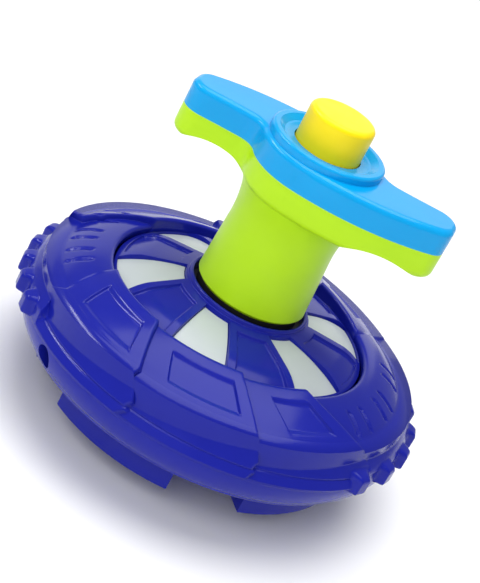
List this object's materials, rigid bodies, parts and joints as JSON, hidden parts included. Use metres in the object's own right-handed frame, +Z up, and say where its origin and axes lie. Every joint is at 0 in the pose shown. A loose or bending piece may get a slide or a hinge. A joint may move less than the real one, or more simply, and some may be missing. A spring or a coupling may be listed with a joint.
{
  "type": "light up spinning top",
  "caption": "Light-up spinning top with armour-panelled disc, translucent windows and a wind-up launcher grip with a release button.",
  "frame": {"origin": "contact point of the spin tip, on the spin axis", "axes": "+Z up the spin axis, from the tip to the release button; +X along the wings of the launcher grip"},
  "size_m": [0.0902, 0.0882, 0.0775],
  "materials": {
    "deep_blue_plastic": "glossy moulded plastic, deep royal blue",
    "milky_lens": "translucent milky white",
    "lime_plastic": "semi-gloss moulded plastic, lime green",
    "sky_plastic": "glossy moulded plastic, sky blue",
    "yellow_plastic": "semi-gloss moulded plastic, bright yellow",
    "inner_plastic": "natural white moulding",
    "black_plastic": "black",
    "board_green": "green solder mask",
    "led_epoxy": "clear diffused",
    "spring_steel": "bright drawn wire and strip",
    "plated_steel": "zinc plated",
    "brass": "stamped"
  },
  "bodies": {
    "top": {"armour_ring": "deep_blue_plastic", "lower_shell": "deep_blue_plastic", "spoked_hub": "deep_blue_plastic", "window_lens": "milky_lens", "drive_socket": "black_plastic", "battery_holder": "inner_plastic", "button_cells": "plated_steel", "battery_contact_top": "brass", "battery_contact_bottom": "brass", "battery_door": "deep_blue_plastic", "spin_tip": "plated_steel", "led_board": "board_green", "leds": "led_epoxy", "control_chip": "black_plastic", "resistors": "black_plastic", "switch_pin": "brass", "switch_post": "brass", "shell_screws": "plated_steel", "door_screws": "plated_steel", "board_screws": "plated_steel"},
    "switch": {"switch_arm": "spring_steel", "switch_weight": "brass"},
    "driver": {"drive_spindle": "black_plastic", "ratchet_wheel": "inner_plastic", "thrust_washer": "spring_steel"},
    "handle": {"grip_body": "lime_plastic", "grip_cover": "sky_plastic", "spindle_bush": "brass", "spring_plate": "inner_plastic", "mainspring": "spring_steel", "grip_screws": "plated_steel", "button_spring": "spring_steel", "catch_spring": "spring_steel"},
    "button": {"release_button": "yellow_plastic"},
    "catch": {"release_catch": "inner_plastic"}
  },
  "joints": [
    {"name": "launcher_lift", "type": "slide", "parent": "top", "child": "driver", "axis": [0, 0, 1], "range_m": [0, 0.06]},
    {"name": "wind", "type": "hinge", "parent": "driver", "child": "handle", "pos_m": [0, 0, 0.05], "axis": [0, 0, 1], "range_deg": [0, 1080], "stiffness_Nm_per_rad": 0.004, "deforming": ["mainspring"]},
    {"name": "button_press", "type": "slide", "parent": "handle", "child": "button", "axis": [0, 0, -1], "range_m": [0, 0.002], "stiffness_N_per_m": 600, "springref_m": -0.001, "deforming": ["button_spring"]},
    {"name": "catch_release", "type": "slide", "parent": "handle", "child": "catch", "axis": [1, 0, 0], "range_m": [0, 0.0014], "deforming": ["catch_spring"]},
    {"name": "switch_swing", "type": "hinge", "parent": "top", "child": "switch", "pos_m": [0, 0.017, 0.025], "axis": [0, 0, 1], "range_deg": [-8, 0], "stiffness_Nm_per_rad": 0.0005}
  ],
  "couplings": [
    {"joint": "catch_release", "follows": "button_press", "ratio": 0.7}
  ]
}
